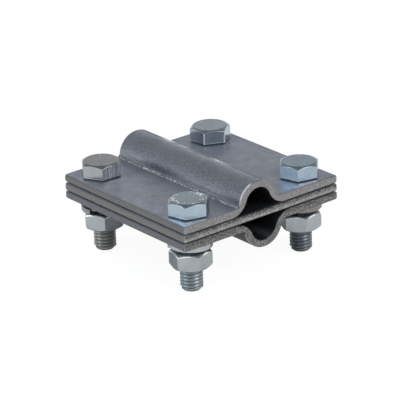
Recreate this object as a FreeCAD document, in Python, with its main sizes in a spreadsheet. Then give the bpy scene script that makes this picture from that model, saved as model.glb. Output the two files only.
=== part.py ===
# Rebar earthing clamp: three steel plates held by four hexagon bolts.
# The upper and lower plates each carry a half-round groove for a bar, and the
# flat middle plate lies between them. Z is up, Y runs along the grooves, and
# the origin is the point on the ground midway between the four bolt ends.
import FreeCAD, Part
import math
import os
import Sketcher

# Driving dimensions in millimetres, turns in degrees.
DIMENSIONS = {
    # Plates: across the grooves, along the grooves, and sheet thickness.
    "plate_width": 67.8,
    "plate_length": 67.2,
    "plate_thickness": 2.8,
    "plate_gap": 0.3,
    "plate_corner_radius": 1.0,
    "plate_edge_radius": 0.6,
    # Grooves: inner radius, the wall that pressing leaves, the crease at the
    # ridge's foot, the rounding of the groove's mouth, the height of the bend's
    # centre over the flat side, and how far each groove lies off the middle.
    "groove_radius": 5.5,
    "groove_wall": 2.5,
    "groove_foot_radius": 1.3,
    "groove_mouth_radius": 7.0,
    "groove_centre_height": 2.65,
    "upper_groove_offset": -1.7,
    "lower_groove_offset": 0.5,
    # Each bolt's distance in from the plates' edges, and the clearance around it.
    "bolt_inset_x": 9.5,
    "bolt_inset_y": 9.3,
    "hole_clearance": 0.55,
    # Hexagon bolts.
    "bolt_diameter": 7.9,
    "bolt_length": 27.6,
    "bolt_tip_chamfer": 1.0,
    "head_flats": 13.0,
    "head_height": 5.4,
    "head_chamfer_radius": 5.9,
    "washer_face_height": 0.35,
    "washer_face_radius": 5.8,
    # Hexagon nuts.
    "nut_flats": 13.0,
    "nut_height": 6.5,
    "nut_chamfer_radius": 5.85,
    "nut_mouth_chamfer": 0.45,
    "thread_clearance": 0.05,
    # Split spring washers, and the space that each has under the lower plate.
    "washer_clearance": 0.3,
    "washer_ring_width": 3.45,
    "washer_thickness": 2.0,
    "washer_free_height": 3.8,
    "washer_split": 5.0,
    "washer_space": 3.9,
    "washer_seat_gap": 0.05,
}

# Each corner's place over X and Y, and how its bolt head, its nut and the low
# end of its spring washer are turned about Z, in degrees.
CORNERS = {
    "front_left": {"side_x": -1, "side_y": -1, "head": 43.4, "nut": 15.6, "washer": 136.0},
    "rear_left": {"side_x": -1, "side_y": 1, "head": 56.6, "nut": 56.0, "washer": -163.5},
    "front_right": {"side_x": 1, "side_y": -1, "head": 46.5, "nut": 6.9, "washer": 178.0},
    "rear_right": {"side_x": 1, "side_y": 1, "head": 34.2, "nut": 28.0, "washer": 60.0},
}

CHAMFER_TANGENT = math.tan(math.radians(30))

# A bolt's distance from the middle, as expressions over the sheet's cells.
BOLT_X = "(Sizes.plate_width / 2 - Sizes.bolt_inset_x)"
BOLT_Y = "(Sizes.plate_length / 2 - Sizes.bolt_inset_y)"

# Heights over the ground, as expressions over the sheet's cells.
LOWER_PLATE_UNDERSIDE = "(Sizes.bolt_length - 3 * Sizes.plate_thickness - 2 * Sizes.plate_gap)"
LOWER_PLATE_TOP = f"({LOWER_PLATE_UNDERSIDE} + Sizes.plate_thickness)"
MIDDLE_PLATE_UNDERSIDE = f"({LOWER_PLATE_TOP} + Sizes.plate_gap)"
UPPER_PLATE_UNDERSIDE = f"({MIDDLE_PLATE_UNDERSIDE} + Sizes.plate_thickness + Sizes.plate_gap)"
UPPER_PLATE_TOP = "Sizes.bolt_length"
NUT_UNDERSIDE = f"({LOWER_PLATE_UNDERSIDE} - Sizes.washer_space - Sizes.nut_height)"
WASHER_UNDERSIDE = f"({LOWER_PLATE_UNDERSIDE} - Sizes.washer_space + Sizes.washer_seat_gap)"

doc = FreeCAD.newDocument("rebar_earthing_clamp")


def make_sheet():
    """The sheet of driving dimensions."""
    sheet = doc.addObject("Spreadsheet::Sheet", "Sizes")
    for row, (alias, value) in enumerate(DIMENSIONS.items(), start=1):
        sheet.set(f"A{row}", alias)
        sheet.set(f"B{row}", str(value))
        sheet.setAlias(f"B{row}", alias)
    doc.recompute()


def new_body(label):
    body = doc.addObject("PartDesign::Body", label)
    body.Label = label
    return body


def new_sketch(body, role, name, lift=None):
    """A sketch on one of the body's own origin planes, lifted off it if asked."""
    sketch = body.newObject("Sketcher::SketchObject", name)
    plane = next(item for item in body.Origin.OriginFeatures if item.Role == role)
    sketch.AttachmentSupport = [(plane, "")]
    sketch.MapMode = "FlatFace"
    if lift:
        sketch.setExpression("AttachmentOffset.Base.z", lift)
    return sketch


def drive(sketch, name, expression, *constraint):
    """A sketch dimension bound to the sheet."""
    index = sketch.addConstraint(Sketcher.Constraint(*constraint))
    sketch.renameConstraint(index, name)
    sketch.setExpression("Constraints." + name, expression)


def draw_circle(sketch, expression, radius):
    circle = Part.Circle(FreeCAD.Vector(0, 0, 0), FreeCAD.Vector(0, 0, 1), radius)
    sketch.addGeometry(circle, False)
    sketch.addConstraint(Sketcher.Constraint("Coincident", 0, 3, -1, 1))
    drive(sketch, "radius", expression, "Radius", 0, radius)


def draw_polygon(sketch, points):
    """A closed outline of straight lines; its dimensions are added by the caller."""
    count = len(points)
    for index in range(count):
        start = FreeCAD.Vector(*points[index], 0)
        end = FreeCAD.Vector(*points[(index + 1) % count], 0)
        sketch.addGeometry(Part.LineSegment(start, end), False)
    for index in range(count):
        sketch.addConstraint(Sketcher.Constraint("Coincident", index, 2, (index + 1) % count, 1))


def draw_hexagon(sketch, alias):
    """A hexagon by its width across flats, with one corner on the X axis."""
    radius = DIMENSIONS[alias] / math.sqrt(3)
    corners = [math.radians(60 * index) for index in range(6)]
    draw_polygon(sketch, [(radius * math.cos(turn), radius * math.sin(turn)) for turn in corners])
    circle = Part.Circle(FreeCAD.Vector(0, 0, 0), FreeCAD.Vector(0, 0, 1), radius)
    sketch.addGeometry(circle, True)
    sketch.addConstraint(Sketcher.Constraint("Coincident", 6, 3, -1, 1))
    for index in range(6):
        sketch.addConstraint(Sketcher.Constraint("PointOnObject", index, 1, 6))
    for index in range(1, 6):
        sketch.addConstraint(Sketcher.Constraint("Equal", 0, index))
    sketch.addConstraint(Sketcher.Constraint("PointOnObject", 0, 1, -1))
    drive(sketch, "corner_radius", f"Sizes.{alias} / sqrt(3)", "Radius", 6, radius)


def add_pad(body, sketch, name, expression, reversed_pad=False, symmetric=False):
    pad = body.newObject("PartDesign::Pad", name)
    pad.Profile = sketch
    pad.Reversed = reversed_pad
    pad.SideType = "Symmetric" if symmetric else "One side"
    pad.setExpression("Length", expression)
    sketch.Visibility = False


def add_through_pocket(body, sketch, name):
    pocket = body.newObject("PartDesign::Pocket", name)
    pocket.Profile = sketch
    pocket.SideType = "Symmetric"
    pocket.Type = "ThroughAll"
    sketch.Visibility = False


def edges_where(shape, wanted):
    """Names of the edges of a shape that a test picks."""
    names = []
    for index, edge in enumerate(shape.Edges, start=1):
        if wanted(edge):
            names.append(f"Edge{index}")
    return names


def add_dress_up(body, kind, name, wanted, expression):
    """A fillet or chamfer on the edges that a test picks from the body so far."""
    doc.recompute()
    base = body.Tip
    feature = body.newObject(f"PartDesign::{kind}", name)
    feature.Base = (base, edges_where(base.Shape, wanted))
    size_name = "Radius" if kind == "Fillet" else "Size"
    feature.setExpression(size_name, expression)
    doc.recompute()


def place(body, height, side_x=0, side_y=0, rotation=None):
    """Puts a body at a height, and at a bolt's corner where sides are given."""
    body.Placement = FreeCAD.Placement(FreeCAD.Vector(0, 0, 0), rotation or FreeCAD.Rotation())
    body.setExpression("Placement.Base.x", f"{side_x} * {BOLT_X}")
    body.setExpression("Placement.Base.y", f"{side_y} * {BOLT_Y}")
    body.setExpression("Placement.Base.z", height)


def turned(angle):
    return FreeCAD.Rotation(FreeCAD.Vector(0, 0, 1), angle)


def drill_bolt_holes(body):
    """Four clearance holes on the bolt pattern."""
    sketch = new_sketch(body, "XY_Plane", "BoltHoles")
    bolt_x = DIMENSIONS["plate_width"] / 2 - DIMENSIONS["bolt_inset_x"]
    bolt_y = DIMENSIONS["plate_length"] / 2 - DIMENSIONS["bolt_inset_y"]
    radius = DIMENSIONS["bolt_diameter"] / 2 + DIMENSIONS["hole_clearance"]
    for index, corner in enumerate(CORNERS.values()):
        centre = FreeCAD.Vector(corner["side_x"] * bolt_x, corner["side_y"] * bolt_y, 0)
        sketch.addGeometry(Part.Circle(centre, FreeCAD.Vector(0, 0, 1), radius), False)
        from_origin_x = (-1, 1, index, 3) if corner["side_x"] > 0 else (index, 3, -1, 1)
        from_origin_y = (-1, 1, index, 3) if corner["side_y"] > 0 else (index, 3, -1, 1)
        drive(sketch, f"place_x_{index}", BOLT_X, "DistanceX", *from_origin_x, bolt_x)
        drive(sketch, f"place_y_{index}", BOLT_Y, "DistanceY", *from_origin_y, bolt_y)
        if index:
            sketch.addConstraint(Sketcher.Constraint("Equal", 0, index))
    drive(sketch, "radius", "Sizes.bolt_diameter / 2 + Sizes.hole_clearance", "Radius", 0, radius)
    add_through_pocket(body, sketch, "DrilledHoles")


def soften_plate_edges(body):
    """Rounds the plate's corners, then the outer rim that the shears left."""
    half_x = DIMENSIONS["plate_width"] / 2
    half_y = DIMENSIONS["plate_length"] / 2
    corner_radius = DIMENSIONS["plate_corner_radius"]

    def is_corner(edge):
        centre = edge.BoundBox.Center
        upright = edge.BoundBox.XLength < 1e-4 and edge.BoundBox.YLength < 1e-4
        return upright and abs(centre.x) > half_x - 1e-3 and abs(centre.y) > half_y - 1e-3

    def is_rim(edge):
        box = edge.BoundBox
        on_side = box.XLength < 1e-4 and abs(box.Center.x) > half_x - 1e-3
        on_end = box.YLength < 1e-4 and abs(box.Center.y) > half_y - 1e-3
        upright = box.XLength < 1e-4 and box.YLength < 1e-4
        on_corner = (box.ZLength < 1e-4 and abs(box.Center.x) > half_x - corner_radius
                     and abs(box.Center.y) > half_y - corner_radius)
        return (on_side or on_end or on_corner) and not upright

    add_dress_up(body, "Fillet", "RoundedCorners", is_corner, "Sizes.plate_corner_radius")
    add_dress_up(body, "Fillet", "SoftRim", is_rim, "Sizes.plate_edge_radius")


def make_middle_plate():
    """The flat plate between the two grooves."""
    body = new_body("middle_plate")
    sketch = new_sketch(body, "XY_Plane", "Outline")
    half_x = DIMENSIONS["plate_width"] / 2
    half_y = DIMENSIONS["plate_length"] / 2
    draw_polygon(sketch, [(-half_x, -half_y), (half_x, -half_y), (half_x, half_y), (-half_x, half_y)])
    for index, direction in enumerate(("Horizontal", "Vertical", "Horizontal", "Vertical")):
        sketch.addConstraint(Sketcher.Constraint(direction, index))
    sketch.addConstraint(Sketcher.Constraint("Symmetric", 0, 1, 1, 2, -1, 1))
    drive(sketch, "width", "Sizes.plate_width", "DistanceX", 0, 1, 0, 2, 2 * half_x)
    drive(sketch, "length", "Sizes.plate_length", "DistanceY", 1, 1, 1, 2, 2 * half_y)
    add_pad(body, sketch, "Sheet", "Sizes.plate_thickness")
    drill_bolt_holes(body)
    soften_plate_edges(body)
    return body


def draw_grooved_profile(sketch, groove_offset, offset_expression):
    """The section of a grooved plate, with its underside on the sketch's X axis."""
    half_width = DIMENSIONS["plate_width"] / 2
    sheet = DIMENSIONS["plate_thickness"]
    inner = DIMENSIONS["groove_radius"]
    outer = inner + DIMENSIONS["groove_wall"]
    foot = DIMENSIONS["groove_foot_radius"]
    mouth = DIMENSIONS["groove_mouth_radius"]
    centre_height = DIMENSIONS["groove_centre_height"]
    foot_dip = math.asin((sheet + foot - centre_height) / (outer + foot))
    mouth_dip = math.asin((mouth - centre_height) / (inner + mouth))
    left_foot = groove_offset - (outer + foot) * math.cos(foot_dip)
    right_foot = groove_offset + (outer + foot) * math.cos(foot_dip)
    left_mouth = groove_offset - (inner + mouth) * math.cos(mouth_dip)
    right_mouth = groove_offset + (inner + mouth) * math.cos(mouth_dip)

    def line(start, end):
        sketch.addGeometry(Part.LineSegment(FreeCAD.Vector(*start, 0), FreeCAD.Vector(*end, 0)), False)

    def arc(centre_x, centre_z, radius, start_turn, end_turn):
        circle = Part.Circle(FreeCAD.Vector(centre_x, centre_z, 0), FreeCAD.Vector(0, 0, 1), radius)
        sketch.addGeometry(Part.ArcOfCircle(circle, start_turn, end_turn), False)

    line((-half_width, 0), (left_mouth, 0))
    arc(left_mouth, mouth, mouth, -math.pi / 2, -mouth_dip)
    arc(groove_offset, centre_height, inner, mouth_dip, math.pi - mouth_dip)
    arc(right_mouth, mouth, mouth, math.pi + mouth_dip, 1.5 * math.pi)
    line((right_mouth, 0), (half_width, 0))
    line((half_width, 0), (half_width, sheet))
    line((half_width, sheet), (right_foot, sheet))
    arc(right_foot, sheet + foot, foot, math.pi + foot_dip, 1.5 * math.pi)
    arc(groove_offset, centre_height, outer, foot_dip, math.pi - foot_dip)
    arc(left_foot, sheet + foot, foot, -math.pi / 2, -foot_dip)
    line((left_foot, sheet), (-half_width, sheet))
    line((-half_width, sheet), (-half_width, 0))

    smooth_joints = ((0, 2, 1, 1), (1, 2, 2, 2), (2, 1, 3, 1), (3, 2, 4, 1),
                     (6, 2, 7, 2), (7, 1, 8, 1), (8, 2, 9, 2), (9, 1, 10, 1))
    for joint in smooth_joints:
        sketch.addConstraint(Sketcher.Constraint("Tangent", *joint))
    for corner in ((4, 2, 5, 1), (5, 2, 6, 1), (10, 2, 11, 1), (11, 2, 0, 1)):
        sketch.addConstraint(Sketcher.Constraint("Coincident", *corner))
    sketch.addConstraint(Sketcher.Constraint("Coincident", 8, 3, 2, 3))
    for index in (0, 4, 6, 10):
        sketch.addConstraint(Sketcher.Constraint("Horizontal", index))
    for index in (5, 11):
        sketch.addConstraint(Sketcher.Constraint("Vertical", index))
    for index in (0, 4):
        sketch.addConstraint(Sketcher.Constraint("PointOnObject", index, 1, -1))
    for pair in ((7, 9), (1, 3), (5, 11)):
        sketch.addConstraint(Sketcher.Constraint("Equal", *pair))
    drive(sketch, "left_half", "Sizes.plate_width / 2", "DistanceX", 0, 1, -1, 1, half_width)
    drive(sketch, "right_half", "Sizes.plate_width / 2", "DistanceX", -1, 1, 4, 2, half_width)
    drive(sketch, "sheet", "Sizes.plate_thickness", "DistanceY", 5, 1, 5, 2, sheet)
    drive(sketch, "foot", "Sizes.groove_foot_radius", "Radius", 7, foot)
    drive(sketch, "mouth", "Sizes.groove_mouth_radius", "Radius", 3, mouth)
    drive(sketch, "inner", "Sizes.groove_radius", "Radius", 2, inner)
    drive(sketch, "outer", "Sizes.groove_radius + Sizes.groove_wall", "Radius", 8, outer)
    drive(sketch, "centre_height", "Sizes.groove_centre_height", "DistanceY", -1, 1, 2, 3, centre_height)
    drive(sketch, "centre_reach", f"Sizes.plate_width / 2 + {offset_expression}",
          "DistanceX", 0, 1, 2, 3, half_width + groove_offset)


def make_grooved_plate(label, groove_offset, offset_expression, height, rotation):
    """An outer plate with its groove pressed out along Y."""
    body = new_body(label)
    sketch = new_sketch(body, "XZ_Plane", "Section")
    draw_grooved_profile(sketch, groove_offset, offset_expression)
    add_pad(body, sketch, "PressedSheet", "Sizes.plate_length", symmetric=True)
    drill_bolt_holes(body)
    soften_plate_edges(body)
    place(body, height, rotation=rotation)
    return body


def cut_hexagon_corners(body, name, alias, radius_alias, end_height, points_up):
    """Turns the corners off one end of a hexagon at 30 degrees."""
    end = sum(DIMENSIONS[part] for part in end_height)
    inner = DIMENSIONS[radius_alias]
    outer = DIMENSIONS[alias]
    drop = (outer - inner) * CHAMFER_TANGENT
    direction = 1 if points_up else -1
    sketch = new_sketch(body, "XZ_Plane", name + "Profile")
    draw_polygon(sketch, [(inner, end), (outer, end), (outer, end - direction * drop)])
    sketch.addConstraint(Sketcher.Constraint("Horizontal", 0))
    sketch.addConstraint(Sketcher.Constraint("Vertical", 1))
    drive(sketch, "inner", f"Sizes.{radius_alias}", "DistanceX", -1, 1, 0, 1, inner)
    drive(sketch, "outer", f"Sizes.{alias}", "DistanceX", -1, 1, 0, 2, outer)
    drop_expression = f"(Sizes.{alias} - Sizes.{radius_alias}) * tan(30)"
    if points_up:
        drive(sketch, "drop", drop_expression, "DistanceY", 1, 2, 1, 1, drop)
        end_expression = " + ".join(f"Sizes.{part}" for part in end_height)
        drive(sketch, "end", end_expression, "DistanceY", -1, 1, 0, 1, end)
    else:
        drive(sketch, "drop", drop_expression, "DistanceY", 1, 1, 1, 2, drop)
        sketch.addConstraint(Sketcher.Constraint("PointOnObject", 0, 1, -1))
    groove = body.newObject("PartDesign::Groove", name)
    groove.Profile = sketch
    groove.ReferenceAxis = (sketch, ["V_Axis"])
    groove.Angle = 360
    sketch.Visibility = False


def make_bolt(corner_name, corner):
    """A hexagon bolt threaded to the head, its underside face at Z = 0."""
    body = new_body("bolt_" + corner_name)
    face_sketch = new_sketch(body, "XY_Plane", "WasherFaceCircle")
    draw_circle(face_sketch, "Sizes.washer_face_radius", DIMENSIONS["washer_face_radius"])
    add_pad(body, face_sketch, "WasherFace", "Sizes.washer_face_height")
    head_sketch = new_sketch(body, "XY_Plane", "HeadHexagon", "Sizes.washer_face_height")
    draw_hexagon(head_sketch, "head_flats")
    add_pad(body, head_sketch, "Head", "Sizes.head_height - Sizes.washer_face_height")
    cut_hexagon_corners(body, "HeadChamfer", "head_flats", "head_chamfer_radius", ["head_height"], True)
    shank_sketch = new_sketch(body, "XY_Plane", "ShankCircle")
    draw_circle(shank_sketch, "Sizes.bolt_diameter / 2", DIMENSIONS["bolt_diameter"] / 2)
    add_pad(body, shank_sketch, "Shank", "Sizes.bolt_length", reversed_pad=True)

    def is_tip(edge):
        box = edge.BoundBox
        return box.ZLength < 1e-4 and box.ZMax < -DIMENSIONS["bolt_length"] + 1e-3

    add_dress_up(body, "Chamfer", "TipChamfer", is_tip, "Sizes.bolt_tip_chamfer")
    place(body, UPPER_PLATE_TOP, corner["side_x"], corner["side_y"], turned(corner["head"]))
    return body


def make_nut(corner_name, corner):
    """A hexagon nut, its underside at Z = 0."""
    body = new_body("nut_" + corner_name)
    hexagon = new_sketch(body, "XY_Plane", "Hexagon")
    draw_hexagon(hexagon, "nut_flats")
    add_pad(body, hexagon, "Block", "Sizes.nut_height")
    cut_hexagon_corners(body, "TopChamfer", "nut_flats", "nut_chamfer_radius", ["nut_height"], True)
    cut_hexagon_corners(body, "BottomChamfer", "nut_flats", "nut_chamfer_radius", [], False)
    bore = new_sketch(body, "XY_Plane", "BoreCircle")
    bore_radius = DIMENSIONS["bolt_diameter"] / 2 + DIMENSIONS["thread_clearance"]
    draw_circle(bore, "Sizes.bolt_diameter / 2 + Sizes.thread_clearance", bore_radius)
    add_through_pocket(body, bore, "Bore")

    def is_mouth(edge):
        box = edge.BoundBox
        return box.ZLength < 1e-4 and abs(box.XLength - 2 * bore_radius) < 1e-3

    add_dress_up(body, "Chamfer", "MouthChamfer", is_mouth, "Sizes.nut_mouth_chamfer")
    place(body, NUT_UNDERSIDE, corner["side_x"], corner["side_y"], turned(corner["nut"]))
    return body


def make_spring_washer(corner_name, corner):
    """A split ring wound left-handed, its low end on the X axis and at Z = 0."""
    body = new_body("spring_washer_" + corner_name)
    inner = DIMENSIONS["bolt_diameter"] / 2 + DIMENSIONS["washer_clearance"]
    outer = inner + DIMENSIONS["washer_ring_width"]
    thickness = DIMENSIONS["washer_thickness"]
    sketch = new_sketch(body, "XZ_Plane", "RingSection")
    draw_polygon(sketch, [(inner, 0), (outer, 0), (outer, thickness), (inner, thickness)])
    for index, direction in enumerate(("Horizontal", "Vertical", "Horizontal", "Vertical")):
        sketch.addConstraint(Sketcher.Constraint(direction, index))
    sketch.addConstraint(Sketcher.Constraint("PointOnObject", 0, 1, -1))
    drive(sketch, "inner", "Sizes.bolt_diameter / 2 + Sizes.washer_clearance",
          "DistanceX", -1, 1, 0, 1, inner)
    drive(sketch, "ring_width", "Sizes.washer_ring_width", "DistanceX", 0, 1, 0, 2, outer - inner)
    drive(sketch, "thickness", "Sizes.washer_thickness", "DistanceY", 1, 1, 1, 2, thickness)
    coil = body.newObject("PartDesign::AdditiveHelix", "Coil")
    coil.Profile = sketch
    coil.ReferenceAxis = (sketch, ["V_Axis"])
    coil.Mode = "height-turns-angle"
    coil.LeftHanded = True
    coil.Angle = 0
    coil.setExpression("Height", "Sizes.washer_free_height - Sizes.washer_thickness")
    coil.setExpression("Turns", "1 - Sizes.washer_split / 360")
    sketch.Visibility = False
    place(body, WASHER_UNDERSIDE, corner["side_x"], corner["side_y"], turned(corner["washer"]))
    return body


def make_clamp():
    """Every piece, in the order in which it is stacked from the top."""
    upside_down = FreeCAD.Rotation(FreeCAD.Vector(0, 1, 0), 180)
    pieces = [
        make_grooved_plate("upper_plate", DIMENSIONS["upper_groove_offset"],
                           "Sizes.upper_groove_offset", UPPER_PLATE_UNDERSIDE, FreeCAD.Rotation()),
        make_grooved_plate("lower_plate", -DIMENSIONS["lower_groove_offset"],
                           "-1 * Sizes.lower_groove_offset", LOWER_PLATE_TOP, upside_down),
    ]
    middle = make_middle_plate()
    place(middle, MIDDLE_PLATE_UNDERSIDE)
    pieces.append(middle)
    for corner_name, corner in CORNERS.items():
        pieces.append(make_bolt(corner_name, corner))
        pieces.append(make_spring_washer(corner_name, corner))
        pieces.append(make_nut(corner_name, corner))
    return pieces


def check_pieces(pieces):
    """Stops on any failed object or any piece that isn't one valid solid."""
    for item in doc.Objects:
        if {"Invalid", "Error"} & set(item.State):
            raise RuntimeError(f"{item.Name} failed to build: {item.State}")
    for piece in pieces:
        shape = piece.Shape
        if shape.isNull() or not shape.isValid() or len(shape.Solids) != 1:
            raise RuntimeError(f"{piece.Label} isn't one valid solid")


make_sheet()
clamp_pieces = make_clamp()
doc.recompute()
check_pieces(clamp_pieces)
os.makedirs("parts", exist_ok=True)
for clamp_piece in clamp_pieces:
    clamp_piece.Shape.exportStep(os.path.join("parts", clamp_piece.Label + ".step"))
    print(f"{clamp_piece.Label}: {clamp_piece.Shape.Volume:.1f} mm3")
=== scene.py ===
import math

import bmesh
import bpy
from mathutils import Matrix, Vector


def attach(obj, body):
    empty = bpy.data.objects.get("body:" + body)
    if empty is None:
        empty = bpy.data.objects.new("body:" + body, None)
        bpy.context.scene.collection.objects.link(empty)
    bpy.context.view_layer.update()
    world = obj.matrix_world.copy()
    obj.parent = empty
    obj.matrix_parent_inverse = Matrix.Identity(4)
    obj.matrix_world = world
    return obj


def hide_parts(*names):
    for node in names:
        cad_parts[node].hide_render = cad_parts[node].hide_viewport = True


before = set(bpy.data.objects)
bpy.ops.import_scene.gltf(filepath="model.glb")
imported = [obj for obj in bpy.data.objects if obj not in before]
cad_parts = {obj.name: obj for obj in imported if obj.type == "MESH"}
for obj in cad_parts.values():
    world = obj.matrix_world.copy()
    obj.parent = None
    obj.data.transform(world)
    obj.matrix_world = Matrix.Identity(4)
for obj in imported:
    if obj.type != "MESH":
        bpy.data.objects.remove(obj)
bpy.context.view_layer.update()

# The view: a long lens from the front left corner, a little above the clamp,
# with the picture leaning slightly. Lengths are in metres, angles in degrees.
view_azimuth = math.radians(-38.07)
view_elevation = math.radians(22.01)
view_roll = math.radians(-2.30)
view_distance = 0.93998
view_target = Vector((0, 0, 0.023017))
back = Vector((
    math.sin(view_azimuth) * math.cos(view_elevation),
    -math.cos(view_azimuth) * math.cos(view_elevation),
    math.sin(view_elevation),
))
level_right = Vector((math.cos(view_azimuth), math.sin(view_azimuth), 0))
level_up = back.cross(level_right)
right = level_right * math.cos(view_roll) + level_up * math.sin(view_roll)
up = level_up * math.cos(view_roll) - level_right * math.sin(view_roll)
camera = bpy.data.objects.new("camera", bpy.data.cameras.new("camera"))
camera.data.sensor_width = 36
camera.data.lens = 243.81
camera.data.shift_x = -0.0011
camera.data.shift_y = -0.0334
camera.data.clip_start = 0.05
camera.data.clip_end = 20
turned_to_clamp = Matrix((right, up, back)).transposed().to_4x4()
camera.matrix_world = Matrix.Translation(view_target + back * view_distance) @ turned_to_clamp
bpy.context.scene.collection.objects.link(camera)
bpy.context.scene.camera = camera
bpy.context.scene.view_settings.view_transform = "Standard"

# The table: a round white sheet, 8 m across, that the clamp stands on by its
# bolt ends. It takes the clamp's shadow, and polished metal mirrors it as pale,
# but under the clamp it mirrors a painted shadow, dark.
table_radius = 4
table_tone, table_tone_to_camera = (0.72, 0.72, 0.72, 1), (0.20, 0.20, 0.20, 1)
table_level, table_mirrored, table_mirrored_in_painted_shadow = 0.915, 0.34, 0.05
beneath_across, beneath_along = (-0.044, -0.038, 0.038, 0.044), (-0.036, -0.030, 0.038, 0.044)
white = (1, 1, 1, 1)


def new_material(name):
    material = bpy.data.materials.new(name)
    material.use_nodes = True
    material.node_tree.nodes.clear()
    return material


def add_node(owner, kind, inputs=None, **settings):
    """A node with its settings, and with each input given as a value or as a socket."""
    node = owner.node_tree.nodes.new("ShaderNode" + kind)
    for setting, value in settings.items():
        setattr(node, setting, value)
    for socket, value in (inputs or {}).items():
        if isinstance(value, bpy.types.NodeSocket):
            owner.node_tree.links.new(value, node.inputs[socket])
        else:
            node.inputs[socket].default_value = value
    return node


def combine(owner, operation, first, second=0.0):
    return add_node(owner, "Math", {0: first, 1: second}, operation=operation).outputs[0]


def times(owner, first, *others):
    """The product of two or more values."""
    product = first
    for factor in others:
        product = combine(owner, "MULTIPLY", product, factor)
    return product


def ramp(owner, value, low, high, to_low=0.0, to_high=1.0):
    """Maps low to high onto to_low to to_high, held at both ends."""
    return add_node(owner, "MapRange", {"Value": value, "From Min": low, "From Max": high,
                                        "To Min": to_low, "To Max": to_high}).outputs[0]


def between(owner, value, low, full_low, full_high, high):
    """1 from full_low to full_high, falling to 0 at low and at high."""
    return times(owner, ramp(owner, value, low, full_low), ramp(owner, value, high, full_high))


def mix(owner, amount, first, second):
    return add_node(owner, "Mix", {0: amount, 6: first, 7: second}, data_type="RGBA").outputs[2]


def add_seen_level(owner, seen, mirrored):
    """One level for camera and transmission rays, one for glossy rays, and 0 for all others."""
    rays = add_node(owner, "LightPath").outputs
    directly = combine(owner, "MAXIMUM", rays["Is Camera Ray"], rays["Is Transmission Ray"])
    return combine(owner, "MAXIMUM", times(owner, directly, seen),
                   times(owner, rays["Is Glossy Ray"], mirrored))


def link_object(name, mesh):
    thing = bpy.data.objects.new(name, mesh)
    bpy.context.scene.collection.objects.link(thing)
    return thing


table_white = new_material("table_white")
table_place = add_node(table_white, "TexCoord").outputs["Object"]
table_x, table_y, _ = add_node(table_white, "SeparateXYZ", {0: table_place}).outputs
# A painted shadow: under the clamp, polished metal mirrors the table darker.
painted_shadow_beneath = times(table_white, between(table_white, table_x, *beneath_across),
                between(table_white, table_y, *beneath_along))
mirrored_level = ramp(table_white, painted_shadow_beneath, 0.0, 1.0, table_mirrored, table_mirrored_in_painted_shadow)
table_glow = add_node(table_white, "Emission", {
    "Color": white, "Strength": add_seen_level(table_white, table_level, mirrored_level)})
to_camera = add_node(table_white, "LightPath").outputs["Is Camera Ray"]
table_cloth = add_node(table_white, "BsdfDiffuse", {
    "Color": mix(table_white, to_camera, table_tone, table_tone_to_camera)})
table_mix = add_node(table_white, "AddShader", {0: table_glow.outputs[0], 1: table_cloth.outputs[0]})
add_node(table_white, "OutputMaterial", {"Surface": table_mix.outputs[0]})
bm = bmesh.new()
bmesh.ops.create_circle(bm, cap_ends=True, segments=96, radius=table_radius)
table_mesh = bpy.data.meshes.new("table")
bm.to_mesh(table_mesh)
bm.free()
table = link_object("table", table_mesh)
table.data.materials.append(table_white)

# The studio round the table: white to the eye, darker overhead in what polished
# metal mirrors, and a soft, slightly bluish light on the clamp from all sides.
studio_light, studio_light_level = (0.93, 0.97, 1.0, 1), 0.66
dimmed_above, dimmed_overhead = (0.02, 0.34, 1.0, 0.46), (0.40, 0.85, 1.0, 0.45)
studio = bpy.data.worlds.new("studio")
studio.use_nodes = True
studio.node_tree.nodes.clear()
direction = add_node(studio, "TexCoord").outputs["Generated"]
studio_rise = add_node(studio, "SeparateXYZ", {0: direction}).outputs[2]
studio_mirrored = times(studio, ramp(studio, studio_rise, *dimmed_above),
                        ramp(studio, studio_rise, *dimmed_overhead))
studio_seen = add_seen_level(studio, 1.0, studio_mirrored)
studio_white = add_node(studio, "Background", {"Color": white, "Strength": studio_seen})
studio_soft = add_node(studio, "Background", {"Color": studio_light, "Strength": studio_light_level})
studio_mix = add_node(studio, "MixShader", {0: combine(studio, "GREATER_THAN", studio_seen, 0.0),
                                            1: studio_soft.outputs[0], 2: studio_white.outputs[0]})
add_node(studio, "OutputWorld", {"Surface": studio_mix.outputs[0]})
bpy.context.scene.world = studio


# The studio lamps: a small bluish soft box on the left, as a window would light
# the clamp, and a larger white one on the front right for the glints.
def add_lamp(name, azimuth, elevation, distance, size, power, colour):
    """A square soft box that points at the clamp."""
    lamp = bpy.data.objects.new(name, bpy.data.lights.new(name, "AREA"))
    lamp.data.shape = "SQUARE"
    lamp.data.size = size
    lamp.data.energy = power
    lamp.data.color = colour
    turn, rise = math.radians(azimuth), math.radians(elevation)
    away = Vector((math.sin(turn) * math.cos(rise), -math.cos(turn) * math.cos(rise), math.sin(rise)))
    facing = away.to_track_quat("Z", "Y").to_matrix().to_4x4()
    lamp.matrix_world = Matrix.Translation(away * distance) @ facing
    bpy.context.scene.collection.objects.link(lamp)


add_lamp("window_lamp", azimuth=-109, elevation=25, distance=1.5, size=0.34, power=1.9,
         colour=(0.72, 0.89, 1.0))
add_lamp("front_lamp", azimuth=14, elevation=34, distance=1.4, size=0.5, power=3.0,
         colour=(1.0, 0.99, 0.97))

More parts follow.
